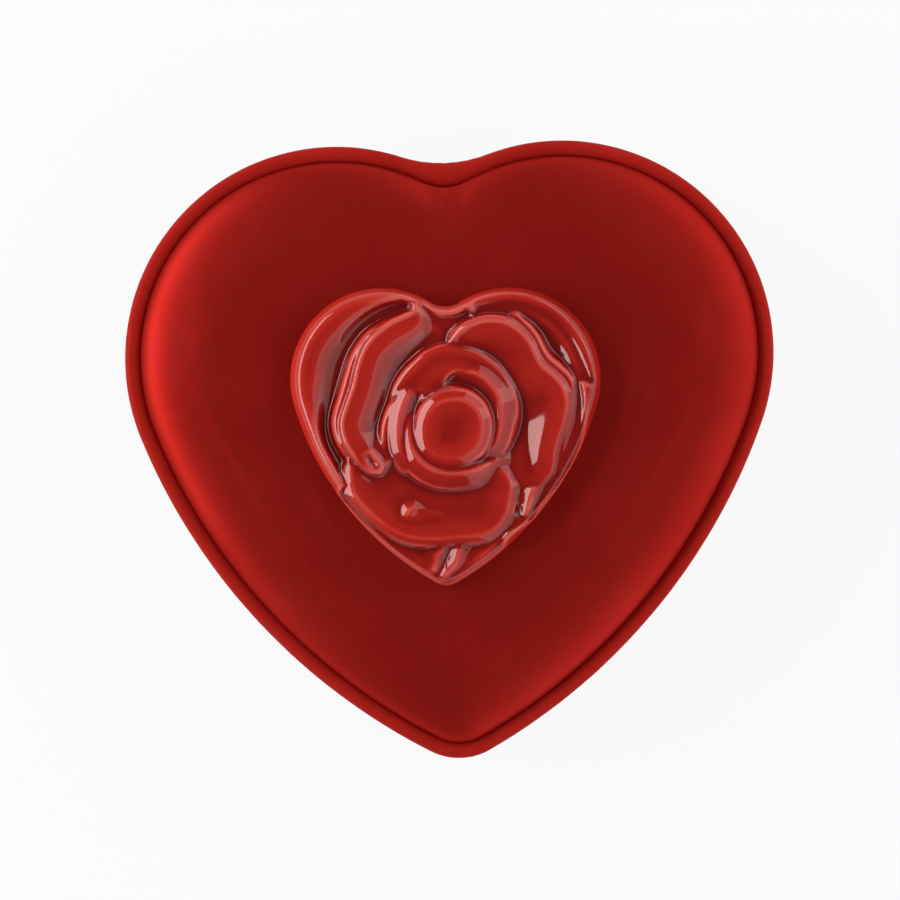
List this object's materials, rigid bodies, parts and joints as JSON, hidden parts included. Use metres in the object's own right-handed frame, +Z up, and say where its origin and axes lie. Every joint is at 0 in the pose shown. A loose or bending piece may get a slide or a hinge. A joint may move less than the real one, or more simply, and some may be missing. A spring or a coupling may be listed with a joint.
{
  "type": "heart-shaped gift box",
  "caption": "Heart-shaped gift box with a lift-off padded satin lid, piped edge, glazed rose-heart ornament, neck collar and card cells inside.",
  "frame": {"origin": "centre of the box's outline, on the surface that it stands on", "axes": "+Z up, +X across the two lobes, -Y to the heart's tip"},
  "size_m": [0.21, 0.199, 0.0721],
  "materials": {
    "greyboard": "matte",
    "lined_board": "matte",
    "divider_card": "matte",
    "lining_paper": "matte",
    "under_paper": "matte",
    "red_satin": "satin",
    "cotton_cord": "matte",
    "foam": "matte",
    "foam_tape": "matte",
    "red_glaze": "gloss"
  },
  "bodies": {
    "base": {"base_board": "greyboard", "base_wall": "greyboard", "base_wrap": "red_satin", "base_sheet": "under_paper", "floor_liner": "lining_paper", "neck_collar": "lined_board", "divider_long_1": "divider_card", "divider_long_2": "divider_card", "divider_long_3": "divider_card", "divider_long_4": "divider_card", "divider_cross_1": "divider_card", "divider_cross_2": "divider_card", "divider_cross_3": "divider_card", "divider_cross_4": "divider_card"},
    "lid": {"lid_board": "greyboard", "lid_wall": "greyboard", "lid_wrap": "red_satin", "lid_liner": "lining_paper", "filler_card": "greyboard", "piping_core": "cotton_cord", "piping_cover": "red_satin", "pad_card": "greyboard", "foam_pad": "foam", "satin_cover": "red_satin", "glue_pad": "foam_tape", "rose_heart": "red_glaze"}
  },
  "joints": [
    {"name": "lid_lift", "type": "slide", "parent": "base", "child": "lid", "axis": [0, 0, 1], "range_m": [0, 0.1]}
  ]
}
